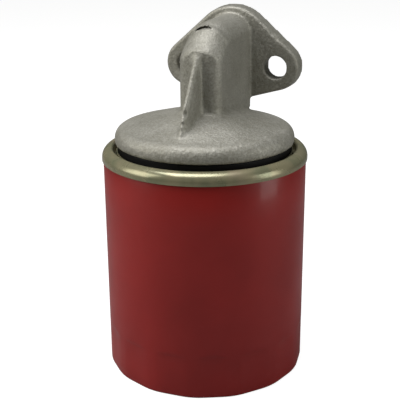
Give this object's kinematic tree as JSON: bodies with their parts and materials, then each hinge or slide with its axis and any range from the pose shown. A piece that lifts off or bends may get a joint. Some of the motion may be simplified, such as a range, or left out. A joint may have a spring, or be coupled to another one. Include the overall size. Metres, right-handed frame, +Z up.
{
  "type": "spin-on oil filter with mounting head",
  "caption": "Spin-on oil filter can screwed to a cast mounting head with a ribbed neck and a two-bolt ported flange.",
  "frame": {"origin": "centre of the can's foot, on the plane that it stands on", "axes": "+Z up along the can's axis towards the head, +Y out of the bolting flange's back face, -Y towards the head's rib"},
  "size_m": [0.076, 0.076, 0.1323],
  "materials": {
    "cast_aluminium": "bead-blasted sand casting",
    "bright_steel": "machined, bright zinc",
    "black_rubber": "moulded nitrile, satin",
    "red_paint": "gloss enamel over drawn steel",
    "yellow_zinc": "yellow-passivated zinc plate",
    "valve_rubber": "moulded silicone, matt",
    "spring_steel": "oiled spring wire",
    "tin_plate": "tin-plated sheet",
    "plastisol": "cured sealant",
    "filter_paper": "resin-treated pleated paper",
    "valve_nylon": "moulded nylon, natural"
  },
  "bodies": {
    "head": {"head_casting": "cast_aluminium", "nipple": "bright_steel", "outlet_seal": "black_rubber", "inlet_seal": "black_rubber"},
    "gasket": {"can_gasket": "black_rubber"},
    "filter": {"can": "red_paint", "seaming_lid": "yellow_zinc", "tapping_plate": "yellow_zinc", "anti_drain_valve": "valve_rubber", "element_spring": "spring_steel"},
    "element": {"upper_end_cap": "tin_plate", "lower_end_cap": "tin_plate", "upper_sealant": "plastisol", "lower_sealant": "plastisol", "filter_media": "filter_paper", "media_clip": "tin_plate", "centre_tube": "tin_plate", "bypass_seat": "valve_nylon", "bypass_cage": "tin_plate", "bypass_spring": "spring_steel"},
    "bypass": {"bypass_disc": "valve_nylon"}
  },
  "joints": [
    {"name": "thread_travel", "type": "slide", "parent": "head", "child": "gasket", "axis": [0, 0, -1], "range_m": [0, 0.00953]},
    {"name": "can_unscrew", "type": "hinge", "parent": "gasket", "child": "filter", "pos_m": [0, 0, 0.0866], "axis": [0, 0, -1], "range_deg": [0, 2160]},
    {"name": "element_float", "type": "slide", "parent": "filter", "child": "element", "axis": [0, 0, -1], "range_m": [0, 0.0015], "stiffness_N_per_m": 4000, "springref_m": -0.003, "deforming": ["element_spring"]},
    {"name": "bypass_lift", "type": "slide", "parent": "element", "child": "bypass", "axis": [0, 0, 1], "range_m": [0, 0.003], "stiffness_N_per_m": 1500, "springref_m": -0.006, "deforming": ["bypass_spring"]}
  ],
  "couplings": [
    {"joint": "thread_travel", "follows": "can_unscrew", "m_per_rad": 0.00025266}
  ]
}
